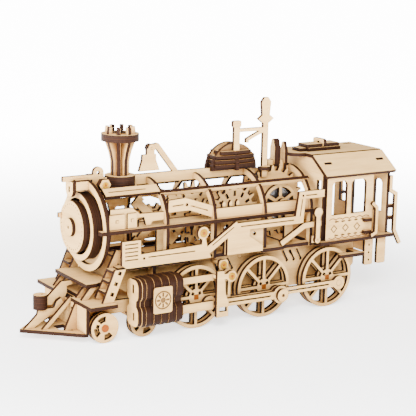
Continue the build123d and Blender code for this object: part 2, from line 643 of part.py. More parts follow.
def make_whistle():
    """Steam post, whistle and the two arms between them, all in one plane beside the dome."""
    post = rect(DOME_X - 3.0, DOME_X + 3.0, POST_FOOT, 163.5)
    post += rounded(rect(DOME_X - 4.2, DOME_X + 4.2, 161.5, 167.2), 1.4)
    head = shape((WHISTLE_X - 3.6, 168), (WHISTLE_X - 4.9, 182), (WHISTLE_X - 2.0, 186.0),
                 (WHISTLE_X + 2.0, 186.0), (WHISTLE_X + 4.9, 182), (WHISTLE_X + 3.6, 168))
    knee = shape((WHISTLE_X - 8.2, 167.4), (WHISTLE_X - 3.4, 171), (WHISTLE_X + 3.4, 171),
                 (WHISTLE_X + 8.2, 167.4), (WHISTLE_X + 3.4, 163.8), (WHISTLE_X - 3.4, 163.8))
    stem = rect(WHISTLE_X - 2.7, WHISTLE_X + 2.7, 116.0, 168)
    arm = rect(WHISTLE_X + 2.0, DOME_X - 2.6, 157.2, 160.2)
    lever = strip([(WHISTLE_X + 2.0, 157.6), (DOME_X - 11.0, 150.2), (DOME_X - 11.0, 147.6)], 2.8)
    mast = plate_y(post + head + knee + stem + arm + lever, DOME_Y)
    foot = disc(WHISTLE_X, DOME_Y + SHEET / 2, 5.5)
    foot &= rect(WHISTLE_X - 6, WHISTLE_X + 6, DOME_Y + 0.1, DOME_Y + 10)
    foot = plate_z(foot, FOOT_Z) - mast
    save("whistle", mast, foot)


VALVE_X = -76.0             # back of the rear safety valve
VALVE_LAP = 120.5           # half-lap level of the valve and the spine


def valve_outline(low, high):
    """A pointed stud, drawn in (y, z)."""
    return shape((-3.8, low), (-3.8, high - 8), (-1.6, high - 1), (0, high), (1.6, high - 1), (3.8, high - 8),
                 (3.8, 125.4), (2.4, 125.4), (2.4, low))


def make_valves():
    """Pointed safety valve studs and the plate between them."""
    rear = valve_outline(SPINE_LOW, 144.6) - rect(-SHEET / 2, SHEET / 2, SPINE_LOW - 1, VALVE_LAP)
    front = valve_outline(123.0, 147.7)
    saddle = shape((-56.5, 123), (-56.5, 130.5), (-60, 129), (-61.9, 129), (-61.9, 123))
    saddle += shape((-68.1, 123), (-68.1, 129), (-71.5, 128), (-72.9, 126), (-72.9, 123))
    save("safety_valves", plate_x(rear, VALVE_X), [plate_x(front, x) for x in (-68.0, -65.0)],
         plate_y(saddle, -SHEET / 2))


FASCIA_Y = 40.6


def make_fascias():
    """Outer decorative plates above the running boards, with engraved lines."""
    face = rect(95.0, 112.0, 62.6, 82.3)
    face += shape((30, BOARD_Z + SHEET), (108, BOARD_Z + SHEET), (112, 63.2), (112, 70), (34, 72.4), (30, 66))
    face += shape((42, 60.0), (37.6, 70), (36.9, 78), (34.0, 78), (32.0, 70), (28, 60)) + disc(36.0, 81.7, 5.3)
    face += bar((32.0, 66.0), (3.0, 84.6), 6.6, 1.5)
    face += bar((5.0, 83.2), (-61.0, 83.2), 6.6, 0.5)
    face += shape((-57, 80), (-66, 80), (-68.5, 107.6), (-61.0, 107.6))
    face += rect(-88.0, -62.0, 101.0, 107.6)
    face += shape((12, 80), (-10.4, 80), (-10.4, 74.2), (-24.0, 65.0), (-24.0, 60.0), (12, 60.0))
    for i in range(5):
        face -= rect(97.6, 109.4, 66.4 + 3.2 * i, 66.4 + 3.2 * i + LINE)
    face -= bar((88, 67.4), (44, 67.4), LINE) + disc(92.0, 66.8, 1.0)
    face -= bar((27.0, 70.4), (6.0, 83.6), LINE)
    face -= bar((-1.0, 83.4), (-56.0, 83.4), LINE)
    face -= bar((-62.4, 86.0), (-64.4, 101.0), LINE) + disc(-65.0, 104.0, 1.0)
    face -= bar((-68, 104), (-80, 104), LINE)
    upper = plate_y(face, FASCIA_Y)
    brace = strip([(-45.5, 62.9), (-70.0, 76.4), (-88, 77.0)], 4.8)
    backing = rect(-26.0, 13.0, 60.0, 82.0) - disc(-17.0, 75.2, 1.6)
    x, z = LEVER_PIVOT
    pivot_plate = rect(x - 4, x + 4, 60.0, 66.5) - disc(x, z, 1.0)
    pivot = shaft_y(x, z, 37.0, 45.0, 1.0)
    save("fascias", twins(upper))
    save("firebox_plates", [t for outline in (brace, backing) for t in twins(plate_y(outline, FASCIA_Y - SHEET))],
         plate_y(pivot_plate, FASCIA_Y - SHEET), pivot)


LEVER_PIVOT = (-82.0, 63.0)


def make_control_lever():
    """The lever that stops and starts the clockwork, hung on a pivot in front of the cab."""
    x, z = LEVER_PIVOT
    face = rect(x - 2.1, x + 2.1, z - 1.0, 84.5) + disc(x, 87.8, 4.3) + disc(x, z, 2.8)
    save("control_lever", plate_y(face - disc(x, z, 1.0 + PLAY), 41.2))


# ---------------------------------------------------------------- cab
def roof_underside(y):
    """Height of the roof's underside at a distance y from the centre line."""
    if y <= RIDGE_Y:
        return RIDGE_Z
    return RIDGE_Z - (y - RIDGE_Y) * (RIDGE_Z - EAVE_Z) / (EAVE_Y - RIDGE_Y)


def arched_window(u0, u1, v0, v1, r):
    hole = rect(u0, u1, v0, v1)
    return fillet([hole.vertices().sort_by(Axis.Y)[-1], hole.vertices().sort_by(Axis.Y)[-2]], r)


def make_cab():
    """Sides with two windows, end walls and a three-panel roof."""
    floor = BOARD_Z + SHEET
    side = rect(-145.0, CAB_FRONT, floor, roof_underside(CAB_Y + SHEET))
    side -= arched_window(-115.5, -99.0, 82.6, 112.8, 4.5)
    side -= arched_window(-137.0, -120.0, 82.6, 112.8, 4.5)
    for i in range(5):
        side -= bar((-103 - 7.2 * i, 76.4), (-107 - 7.2 * i, 76.4), LINE)
        side -= bar((-103 - 7.2 * i, 64.0), (-107 - 7.2 * i, 64.0), LINE)
    side = plate_y(side, CAB_Y)
    for x in (-102, -115, -128):
        diamond = Pos(x, 70.2) * (Rot(0, 0, 45) * (Rectangle(5.2, 5.2) - Rectangle(3.8, 3.8)))
        side -= plate_y(diamond, CAB_Y + SHEET - ENGRAVE, ENGRAVE)
    save("cab_sides", twins(side))

    edge, top = CAB_Y, roof_underside(CAB_Y)
    wall = shape((-edge, floor), (-edge, top), (-RIDGE_Y, RIDGE_Z),
                 (RIDGE_Y, RIDGE_Z), (edge, top), (edge, floor))
    front = wall - disc(0, AXIS_Z, 22.0) - rect(-22.0, 22.0, floor - 1, AXIS_Z)
    for s in (1, -1):
        front -= Pos(s * 32.5, 106.5) * Rectangle(6.0, 14.0)
    rear = wall - rect(-11.0, 11.0, floor - 1, 112)
    for s in (1, -1):
        rear -= Pos(s * 25.5, 0) * arched_window(-5.5, 5.5, 78, 108, 4.0)
    save("cab_end_walls", plate_x(front, CAB_FRONT), plate_x(rear, CAB_REAR - SHEET))

    length = ROOF_FRONT - ROOF_REAR
    middle = (ROOF_FRONT + ROOF_REAR) / 2
    slope = hypot(EAVE_Y - RIDGE_Y, RIDGE_Z - EAVE_Z)
    tilt = degrees(atan2(RIDGE_Z - EAVE_Z, EAVE_Y - RIDGE_Y))
    panel = Box(length, slope, SHEET, align=(Align.CENTER, Align.MIN, Align.MIN))
    for x in (-length / 2 + 10, length / 2 - 10):
        panel -= Pos(x, slope * 0.42, 0) * Box(8.0, 2.6, 20)
    panel = Pos(middle, RIDGE_Y, RIDGE_Z + 0.05) * Rot(-tilt, 0, 0) * panel
    ridge = plate_z(rect(ROOF_REAR, ROOF_FRONT, -RIDGE_Y, RIDGE_Y), RIDGE_Z)
    for x in (ROOF_REAR + 10, ROOF_FRONT - 10):
        ridge -= Pos(x, -RIDGE_Y + 8, RIDGE_Z) * Box(8.0, 2.6, 20)
    save("cab_roof", twins(panel), ridge)


def make_hatch():
    """Sliding roof hatch in layers with an upright handle, and the rounded apron in front of the roof."""
    low = RIDGE_Z + SHEET
    layers = [plate_z(rect(-131, -95, -9, 9), low),
              plate_z(rect(-111.8, -95, -7, 7), low + SHEET),
              plate_z(rect(-131, -116.2, -7, 7), low + SHEET),
              plate_z(rect(-94.9, -88, -6, 6), low)]
    handle = rounded(rect(-8, 8, low + SHEET, RIDGE_Z + 13), 2.0) - rect(-1.5, 1.5, 140.4, 142.4)
    apron = plate_z(disc(ROOF_FRONT, 0, 13.0) & rect(ROOF_FRONT, ROOF_FRONT + 20, -14, 14), RIDGE_Z)
    apron -= plate_x(rect(-5, 5, 120, 150), VALVE_X - 0.2, SHEET + 0.4)
    save("roof_hatch", layers, plate_x(handle, -112.0 - SHEET - 0.6), apron)


def make_handrails():
    """Handrails beside the cab doorways and the rear ladders."""
    rail = strip([(-139.5, 91.5), (-145.0, 87.0), (-145.0, 64.0), (-139.5, 61.5)], 3.0)
    arms = [Pos(-138.0, CAB_Y + SHEET + 1.9, z) * Box(8.0, 3.8, SHEET) for z in (75.5, 64.5)]
    ladder = strip([(-166.0, 113.0), (-166.0, 99.5), (-172.5, 96.0), (-172.5, 62.0),
                    (1.53 - HALF_LENGTH, 49.0)], 3.4)
    ladder_plate = plate_y(ladder, CAB_Y)
    rungs = [Pos(-170.3, 36.0, z) * Box(7.2, 4.0, SHEET) for z in (84.0, 73.0)]
    rail_plate = plate_y(rail, CAB_Y + SHEET + 3.8)
    save("cab_handrails", [t for p in [rail_plate, ladder_plate, *arms, *rungs] for t in twins(p)])


def make_tail():
    """Steps, boxes, hangers and drawbar plate under the cab."""
    step = plate_z(rounded(rect(-134, -106.5, 41.6, 47.0), 1.6) + rect(-133.4, -126, 30, 42), 44.0)
    box = plate_y(rect(-134, -106, 44, BOARD_Z), FRAME_Y + SHEET)
    hanger = rounded(rect(-151.5, -142.0, 31.5, BOARD_Z), 1.4)
    for z in (36, 43, 50):
        hanger -= disc(-147, z, 0.9)
    rear_hanger = rounded(rect(-166.5, -156.5, 31.5, BOARD_Z), 1.4)
    drawbar = plate_x(rect(-33.6, 33.6, 41.0, BOARD_Z), -154.0)
    plates = [step, box, plate_y(hanger, 33.6), plate_y(rear_hanger, 33.6)]
    save("cab_steps", [t for p in plates for t in twins(p)], drawbar)


# ---------------------------------------------------------------- front end
DECK_Z = 30.7
PILOT_BACK = 138.0          # rear face of the pilot's back plate
COUPLER_X = 163.0


def make_pilot():
    """Pointed base, back plate, sloping ribs, the two centre plates and the coupler drum."""
    base = shape((HALF_LENGTH, 0), (PILOT_BACK + 4, 36.5), (PILOT_BACK, 36.5), (PILOT_BACK, -36.5),
                 (PILOT_BACK + 4, -36.5))
    hole = shape((154, 4.5), (154, 16.5), (145, 24.0), (145, 4.5))
    back = rect(-38, 38, 9.1, DECK_Z - 0.1) - both_sides(rect(11.5, 18.0, 12.5, 25.5))
    save("pilot_base", plate_z(base - both_sides_x(hole), 6.1), plate_x(back, PILOT_BACK))

    front = PILOT_BACK + SHEET
    ribs = []
    for y, foot, width, top in ((9.5, 166.5, 3.0, 34.0), (20.0, 151.5, 0.0, DECK_Z - 0.1)):
        if width:
            face = shape((foot, 9.1), (foot - width * 1.6, 9.1), (front, top - width * 1.6), (front, top))
        else:
            face = shape((foot, 9.1), (front, 9.1), (front, top), (front + 1, top))
        ribs.extend(twins(plate_y(face, y - SHEET / 2)))
    shelf = 23.6
    lower = shape((178.5, 9.1), (COUPLER_X + 4, 19.6), (COUPLER_X + 3, shelf), (152.0, shelf), (149.8, 28.6),
                  (146.0, 31.0), (143.4, 27.0), (front, 27.0), (front, 21.0), (156.0, 17.6), (170.0, 9.1))
    upper = shape((133.7, 43.8), (144.0, 43.8), (156.5, 32.3), (157.0, 25.4), (152.5, 25.4), (149.5, 29.6),
                  (145.5, 31.6), (143.6, 28.0), (front, 26.0), (front, DECK_Z), (139.2, 34.0), (139.2, 39.6),
                  (133.7, 40.6))
    save("pilot_ribs", ribs, plate_y(lower, 0), plate_y(upper, -SHEET))
    drum = [plate_z(ring(COUPLER_X, 0, 5.8, 1.7), shelf + i * SHEET) for i in range(4)]
    pin = Pos(COUPLER_X, 0, shelf + 6.6) * Cylinder(1.7, 13.2)
    save("coupler_drum", drum, pin)


def both_sides_x(outline):
    """An outline in (x, y) and its mirror image on the right-hand side."""
    return outline + mirror(outline, about=Plane.XZ)


def make_front_deck():
    """Deck over the small wheels, buffer beam with its legs, and the bogie."""
    deck = rect(118.5, 142.5, -49.4, 49.4) - rect(133.6, 143, -13.4, 13.4)
    save("front_deck", plate_z(deck, DECK_Z))
    beam = both_sides_x(shape((136, 0), (136, 28.4), (126.5, 28.4), (124, 26.6), (113, 26.6), (113, 0)))
    legs = []
    for y in (14.5, 23.8):
        leg = shape((131, 43.8), (125, 43.8), (133.5, DECK_Z + SHEET), (139.5, DECK_Z + SHEET))
        legs.extend(twins(plate_y(leg, y)))
    save("buffer_beam", plate_z(beam, 43.8), legs)
    bogie = shape((134.4, 30.6), (78, 30.6), (78, 9), (84, 6.8), (95, 6.8), (100, 20), (114, 20), (119, 6.8),
                  (134.4, 6.8))
    for x in PILOT_X:
        bogie -= disc(x, PILOT_R, 2.0 + PLAY)
    save("bogie_frame", twins(plate_y(bogie, 26.4)), plate_z(rect(78, 134.4, -26.2, 26.2), 27.6))


def make_stairs():
    """Two slanted stringers each side with three treads and risers between them."""
    low = DECK_Z + SHEET
    inner = plate_y(bar((125.6, 34.0), (107.0, 71.5), 6.2) & rect(90, 140, low, 74), 27.0)
    foot, head = (124.6, 32.6), (111.2, 64.5)
    face = bar(foot, head, 8.8, 6) & rect(90, 140, low, BOARD_Z + SHEET - 0.1)
    lean = degrees(atan2(foot[0] - head[0], head[1] - foot[1]))
    steps = []
    for i in range(3):
        t = (i + 0.9) / 3.9
        x, z = foot[0] + (head[0] - foot[0]) * t, foot[1] + (head[1] - foot[1]) * t
        face -= Pos(x - 0.8, z + 0.6) * Rot(0, 0, lean) * Rectangle(3.0, 3.0)
        steps.append(Pos(x + 1.6, 35.2, z + 1.5) * Box(6.0, 10.4, 2.0))
        steps.append(Pos(x - 1.4, 35.2, z - 3.0) * Rot(0, lean, 0) * Box(2.0, 10.4, 6.0))
    plates = [inner, plate_y(face, 40.4), *steps]
    save("stairs", [t for p in plates for t in twins(p)])


# ---------------------------------------------------------------- cylinders and motion brackets
CYLINDER_X = (103.6, 61.6)
CYLINDER_Y = 46.0
CYLINDER_HALF = 9.2         # half width of the end plates; the middle ones are larger
PLATES = 12


def hourglass(grow):
    """Cross-section in (y, z): two lobes with a waist, larger for the middle plates."""
    y, half = CYLINDER_Y, CYLINDER_HALF + grow
    upper = rounded(rect(y - half, y + half, 33.8, 51.6 + grow / 2), 6.0)
    lower = rounded(rect(y - half, y + half, 12.8 - grow / 2, 30.3), 6.0)
    return upper + lower + rect(y - half + 3.5, y + half - 3.5, 22, 40)


def make_cylinders():
    """Stacks of upright plates, cut away around the drive wheel and the rear small wheel."""
    step = (CYLINDER_X[0] - CYLINDER_X[1]) / PLATES
    wheel_room = shaft_y(DRIVE_X[0], DRIVE_R, 15, WHEEL_FACE + 0.9, DRIVE_R + 1.2)
    small_room = shaft_y(PILOT_X[1], PILOT_R, 15, PILOT_FACE + 1.5, PILOT_R + 1.2)
    plates = []
    for i in range(PLATES):
        x = CYLINDER_X[1] + i * step
        inside = 0 < i < PLATES - 1
        plate = plate_x(hourglass((1.0 + 0.5 * (i % 2)) if inside else 0.0), x, step)
        if i == PLATES - 1:
            plate -= Pos(x, CYLINDER_Y + 1.0, 43.8) * Box(20, 2.4, 7.0)
            plate -= Pos(x, CYLINDER_Y + 2.0, 21.0) * Box(20, 2.0, 6.4)
        plates.append(plate - wheel_room - small_room)
    save("cylinders", [t for p in plates for t in twins(p)])
    x, z = 82.4, 34.6
    y = CYLINDER_Y + CYLINDER_HALF + 1.5
    cover = plate_y(rounded(rect(x - 8.8, x + 8.8, z - 11.0, z + 11.0), 2.0), y, 1.5)
    rosette = ring(x, z, 7.6, 6.6) + disc(x, z, 2.2)
    for turn in range(0, 360, 45):
        rosette += Pos(x, z) * Rot(0, 0, turn) * Pos(4.4, 0) * Rectangle(3.0, 1.4)
    cover -= plate_y(rosette, y + 1.5 - ENGRAVE, ENGRAVE)
    save("cylinder_covers", twins(cover))


BRACKET_X = (17.0, 28.6)
LEVER_PIN = (14.4, 45.0)
UPPER_BAR, LOWER_BAR = (41.3, 47.0), (16.5, 23.9)


def make_motion():
    """Slide bars, motion bracket with its block, and the swinging valve lever on each side."""
    rear = 27.4
    bars = [plate_y(rect(rear, CYLINDER_X[1], *heights), BAR_Y) for heights in (UPPER_BAR, LOWER_BAR)]
    x0, x1 = BRACKET_X
    bracket = shape((x1, 11.0), (x1, 50.5), (x0 + 5, 50.5), (x0 + 3, 30), (x0, 24), (x0, 11.0))
    bracket += bar((x0 + 7.6, 45.6), LEVER_PIN, 4.6) + disc(*LEVER_PIN, 4.9)
    bracket -= disc(*LEVER_PIN, 1.5) + rect(x0 + 1.6, x0 + 9.0, 15.6, 19.4)
    block = plate_y(rect(rear, x1, 43.9, 47.0), BAR_Y + SHEET, BRACKET_Y - BAR_Y - SHEET)
    save("motion_brackets", [t for p in [*bars, plate_y(bracket, BRACKET_Y), block] for t in twins(p)])
    lever = rect(LEVER_PIN[0] - 3.8, LEVER_PIN[0] + 3.8, 24.8, 44.0) + disc(*LEVER_PIN, 4.4)
    lever -= rect(LEVER_PIN[0] - 1.2, LEVER_PIN[0] + 1.2, 27.0, 39.0)
    lever = plate_y(lever - disc(*LEVER_PIN, 1.5 + PLAY), BAR_Y + 0.3, SHEET - 0.6)
    save("left_valve_lever", lever)
    save("right_valve_lever", mirror(lever, about=Plane.XZ))


HOOK = (15.5, 52.4)         # small bracket above the valve lever
HOOK_Y = 40.6


def make_hooks():
    """Small brackets held off the frames on round pegs."""
    plate = rounded(rect(HOOK[0] - 4.6, HOOK[0] + 4.6, HOOK[1] - 4.4, HOOK[1] + 4.4), 2.6)
    peg = shaft_y(*HOOK, FRAME_Y + SHEET, HOOK_Y, 2.0)
    save("hook_brackets", twins(plate_y(plate, HOOK_Y)), twins(peg))


def make_caps():
    """Yellow plastic caps: on the valve lever pins, the hook brackets, the fascia stalks and the side lamps."""
    caps = [shaft_y(*LEVER_PIN, BAR_Y - 0.4, BRACKET_Y + SHEET + 1.4, 1.5)]
    caps.append(shaft_y(*LEVER_PIN, BRACKET_Y + SHEET, BRACKET_Y + SHEET + 1.4, 3.2) - caps[0])
    caps.append(shaft_y(*HOOK, HOOK_Y + SHEET, HOOK_Y + SHEET + 1.2, 3.2))
    caps.append(shaft_y(36.0, 81.7, FASCIA_Y + SHEET, FASCIA_Y + SHEET + 1.4, 3.4))
    caps.append(shaft_y(112.2, 123.2, 15.0, 16.4, 2.5))
    save("yellow_caps", [t for c in caps for t in twins(c)])


def make_gear_bars():
    """Bars that carry the gear shafts, standing on the cross members."""
    face = rect(-81.0, 85.0, 83.0, 91.5)
    for centre in (BARREL, SECOND, THIRD, FAN):
        face += disc(*centre, 5.0)
    for x in CROSS_X[1:4]:
        face += rect(x - 3, x + 6, BOARD_Z, 85)
    for centre in (BARREL, SECOND, THIRD, FAN):
        face -= disc(*centre, SHAFT_G + PLAY)
    save("gear_bars", twins(plate_y(face, GEAR_BAR_Y)))


def build():
    os.makedirs("parts", exist_ok=True)
    for label, x in (("front", DRIVE_X[0]), ("rear", DRIVE_X[2])):
        right_pin = mirror(crank_pin(x, CRANK_ANGLE - 90, ROD_Y + SHEET), about=Plane.XZ)
        save(f"{label}_drive_wheels", wheel_pair(x))
        save(f"{label}_drive_axle", drive_axle(x), crank_pin(x, CRANK_ANGLE, ROD_Y + SHEET), right_pin)
    axle_gear = make_gears()
    save("main_drive_wheels", wheel_pair(MAIN_X))
    right_pins = [mirror(p, about=Plane.XZ) for p in main_pin(CRANK_ANGLE - 90)]
    save("main_drive_axle", drive_axle(MAIN_X), axle_gear, main_pin(CRANK_ANGLE), right_pins)
    save("left_coupling_rod", coupling_rod(CRANK_ANGLE))
    save("right_coupling_rod", mirror(coupling_rod(CRANK_ANGLE - 90), about=Plane.XZ))
    save("left_main_rod", main_rod(CRANK_ANGLE))
    save("right_main_rod", mirror(main_rod(CRANK_ANGLE - 90), about=Plane.XZ))
    for label, x in zip(("front", "rear"), PILOT_X):
        save(f"{label}_pilot_wheels", pilot_wheelset(x))
    make_frames()
    make_running_boards()
    make_boiler()
    make_smokebox()
    make_cladding()
    make_headlamp()
    make_chimney()
    make_bell()
    make_dome()
    make_whistle()
    make_valves()
    make_fascias()
    make_control_lever()
    make_cab()
    make_hatch()
    make_handrails()
    make_tail()
    make_pilot()
    make_front_deck()
    make_stairs()
    make_cylinders()
    make_motion()
    make_hooks()
    make_caps()
    make_gear_bars()


build()
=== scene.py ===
import math

import bmesh
import bpy
import numpy as np
from mathutils import Matrix, Vector


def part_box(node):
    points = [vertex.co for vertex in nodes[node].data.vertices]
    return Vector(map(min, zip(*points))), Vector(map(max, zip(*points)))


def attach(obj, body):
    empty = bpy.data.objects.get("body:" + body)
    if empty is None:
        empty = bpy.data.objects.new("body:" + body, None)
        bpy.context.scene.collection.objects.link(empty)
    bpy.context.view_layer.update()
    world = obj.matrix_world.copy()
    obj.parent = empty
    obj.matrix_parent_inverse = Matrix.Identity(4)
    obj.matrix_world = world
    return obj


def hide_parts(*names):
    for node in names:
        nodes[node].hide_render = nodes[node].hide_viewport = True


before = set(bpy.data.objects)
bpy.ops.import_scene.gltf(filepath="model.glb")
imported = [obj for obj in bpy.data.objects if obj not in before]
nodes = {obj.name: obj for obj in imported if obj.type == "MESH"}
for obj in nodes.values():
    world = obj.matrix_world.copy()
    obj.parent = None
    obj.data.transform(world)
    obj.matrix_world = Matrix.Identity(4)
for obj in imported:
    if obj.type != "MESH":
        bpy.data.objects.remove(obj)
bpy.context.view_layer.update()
MM = 0.001
PLY = 0.003                 # sheet thickness
LENS = 109.44               # focal length in mm on a 36 mm frame
CAMERA_PLACE = (0.58117, 0.89707, 0.31713)


# ---------------------------------------------------------------- surface coordinates on the CAD plates
def face_islands(co, corner_vertex, starts, totals, centres, normals):
    """Face groups, one per solid: where solids touch, a face goes with the next face through its own wood."""
    spots, place = np.unique(np.round(co / 2e-6).astype(np.int64), axis=0, return_inverse=True)
    place = place.ravel()[corner_vertex]
    spots = spots * 2e-6
    parent = list(range(len(starts)))

    def root(i):
        while parent[i] != i:
            parent[i] = parent[parent[i]]
            i = parent[i]
        return i

    def turn(face, other, a, b):
        """The angle through the wood from one face to another at their common edge."""
        line = (spots[b] - spots[a]) / np.linalg.norm(spots[b] - spots[a])
        reach = [centres[f] - spots[a] for f in (face, other)]
        reach = [r - line * (r @ line) for r in reach]
        angle = math.atan2(-normals[face] @ reach[1], reach[0] @ reach[1] / np.linalg.norm(reach[0]))
        return angle if angle > 0.001 else angle + 2 * math.pi

    sharing = {}
    for face, (start, total) in enumerate(zip(starts, totals)):
        ring = place[start:start + total]
        for a, b in zip(ring, np.roll(ring, -1)):
            if a != b:
                sharing.setdefault((min(a, b), max(a, b)), []).append((face, a < b))
    for (a, b), users in sharing.items():
        for face, way in users:
            others = [other for other, other_way in users if other_way != way]
            if len(users) > 2:
                others.sort(key=lambda other: turn(face, other, a, b))
            if others:
                parent[root(face)] = root(others[0])
    groups = {}
    for face in range(len(starts)):
        groups.setdefault(root(face), []).append(face)
    return list(groups.values())


def island_axis(normals, areas):
    """The direction of a solid's flat faces, and whether it is a plate; a dowel gives its length."""
    lead = np.take_along_axis(normals, np.abs(normals).argmax(1)[:, None], 1)
    facing = np.round(normals * np.sign(lead), 2) + 0.0
    directions, group = np.unique(facing, axis=0, return_inverse=True)
    share = np.bincount(group.ravel(), areas) / max(areas.sum(), 1e-12)
    best = share.argmax()
    if share[best] > 0.2:
        return directions[best] / np.linalg.norm(directions[best]), True
    tensor = np.einsum("n,ni,nj->ij", areas, normals, normals)
    return np.linalg.eigh(tensor)[1][:, 0], False


def add_plate_data(obj):
    """Stores three attributes at every face corner.

    plate is the place in the sheet and the depth through it, counted in sheets; cut is 1 on the cut edges
    and 0 on the sheet's faces; tone is a number between 0 and 1 for each plate.
    """
    mesh = obj.data
    count = len(mesh.polygons)
    normals = np.zeros(count * 3)
    areas = np.zeros(count)
    centres = np.zeros(count * 3)
    mesh.polygons.foreach_get("normal", normals)
    mesh.polygons.foreach_get("area", areas)
    mesh.polygons.foreach_get("center", centres)
    normals = normals.reshape(-1, 3)
    centres = centres.reshape(-1, 3)
    co = np.zeros(len(mesh.vertices) * 3)
    mesh.vertices.foreach_get("co", co)
    co = co.reshape(-1, 3)
    corner_vertex = np.zeros(len(mesh.loops), int)
    mesh.loops.foreach_get("vertex_index", corner_vertex)
    starts = np.zeros(count, int)
    totals = np.zeros(count, int)
    mesh.polygons.foreach_get("loop_start", starts)
    mesh.polygons.foreach_get("loop_total", totals)
    plate = np.zeros((len(mesh.loops), 3))
    edge = np.zeros(len(mesh.loops))
    tone = np.zeros(len(mesh.loops))
    for number, group in enumerate(face_islands(co, corner_vertex, starts, totals, centres, normals)):
        group = np.array(group)
        axis, is_plate = island_axis(normals[group], areas[group])
        corners = np.concatenate([np.arange(starts[f], starts[f] + totals[f]) for f in group])
        points = co[corner_vertex[corners]]
        depth = points @ axis
        low, high = depth.min(), depth.max()
        first = np.array([1.0, 0, 0]) if abs(axis[0]) < 0.8 else np.array([0, 1.0, 0])
        u = first - axis * (first @ axis)
        u /= np.linalg.norm(u)
        v = np.cross(axis, u)
        sheets = max(1, round((high - low) / PLY))
        through = (depth - low) / max(high - low, 1e-6) * sheets if is_plate else np.zeros(len(depth))
        across = points @ v if is_plate else depth
        along = points @ u if is_plate else points @ v
        plate[corners] = np.stack([along, across, through], 1)
        seed = number * 12.9898 + len(obj.name) * 7.31 + low * 4111.0
        tone[corners] = (math.sin(seed) * 43758.5453) % 1.0
        for f in group:
            face_corners = np.arange(starts[f], starts[f] + totals[f])
            edge[face_corners] = 1.0 - min(1.0, abs(normals[f] @ axis)) if is_plate else 0.0
    layer = mesh.attributes.new("plate", "FLOAT_VECTOR", "CORNER")
    layer.data.foreach_set("vector", plate.astype(np.float32).ravel())
    layer = mesh.attributes.new("cut", "FLOAT", "CORNER")
    layer.data.foreach_set("value", edge.astype(np.float32))
    layer = mesh.attributes.new("tone", "FLOAT", "CORNER")
    layer.data.foreach_set("value", tone.astype(np.float32))


# ---------------------------------------------------------------- materials
class Tree:
    """Short names for building a node material."""

    def __init__(self, name):
        self.material = bpy.data.materials.new(name)
        self.material.use_nodes = True
        self.nodes = self.material.node_tree.nodes
        self.links = self.material.node_tree.links
        self.shader = self.nodes["Principled BSDF"]

    def add(self, kind, **values):
        node = self.nodes.new(kind)
        for key, value in values.items():
            setattr(node, key, value)
        return node

    def put(self, source, target):
        """Sets a socket to a constant, or links another socket to it."""
        if isinstance(source, (int, float, tuple)):
            target.default_value = source
        else:
            self.links.new(source, target)

    def math(self, operation, a, b=0.0, c=0.0):
        node = self.add("ShaderNodeMath", operation=operation)
        for i, value in enumerate((a, b, c)):
            self.put(value, node.inputs[i])
        return node.outputs[0]

    def ramp(self, value, stops):
        node = self.add("ShaderNodeValToRGB")
        elements = node.color_ramp.elements
        while len(elements) < len(stops):
            elements.new(0.5)
        for element, (position, colour) in zip(elements, stops):
            element.position = position
            element.color = (*colour, 1)
        self.put(value, node.inputs[0])
        return node.outputs[0]

    def mix(self, factor, a, b, blend="MIX"):
        node = self.add("ShaderNodeMix", data_type="RGBA", blend_type=blend)
        self.put(factor, node.inputs[0])
        self.put(a, node.inputs[6])
        self.put(b, node.inputs[7])
        return node.outputs[2]

    def attribute(self, name):
        return self.add("ShaderNodeAttribute", attribute_name=name)

    def noise(self, vector, scale, detail=3.0, rough=0.5):
        node = self.add("ShaderNodeTexNoise")
        self.put(vector, node.inputs["Vector"])
        node.inputs["Scale"].default_value = scale
        node.inputs["Detail"].default_value = detail
        node.inputs["Roughness"].default_value = rough
        return node.outputs[0]

    def stretch(self, vector, scale):
        node = self.add("ShaderNodeVectorMath", operation="MULTIPLY")
        self.put(vector, node.inputs[0])
        node.inputs[1].default_value = scale
        return node.outputs[0]


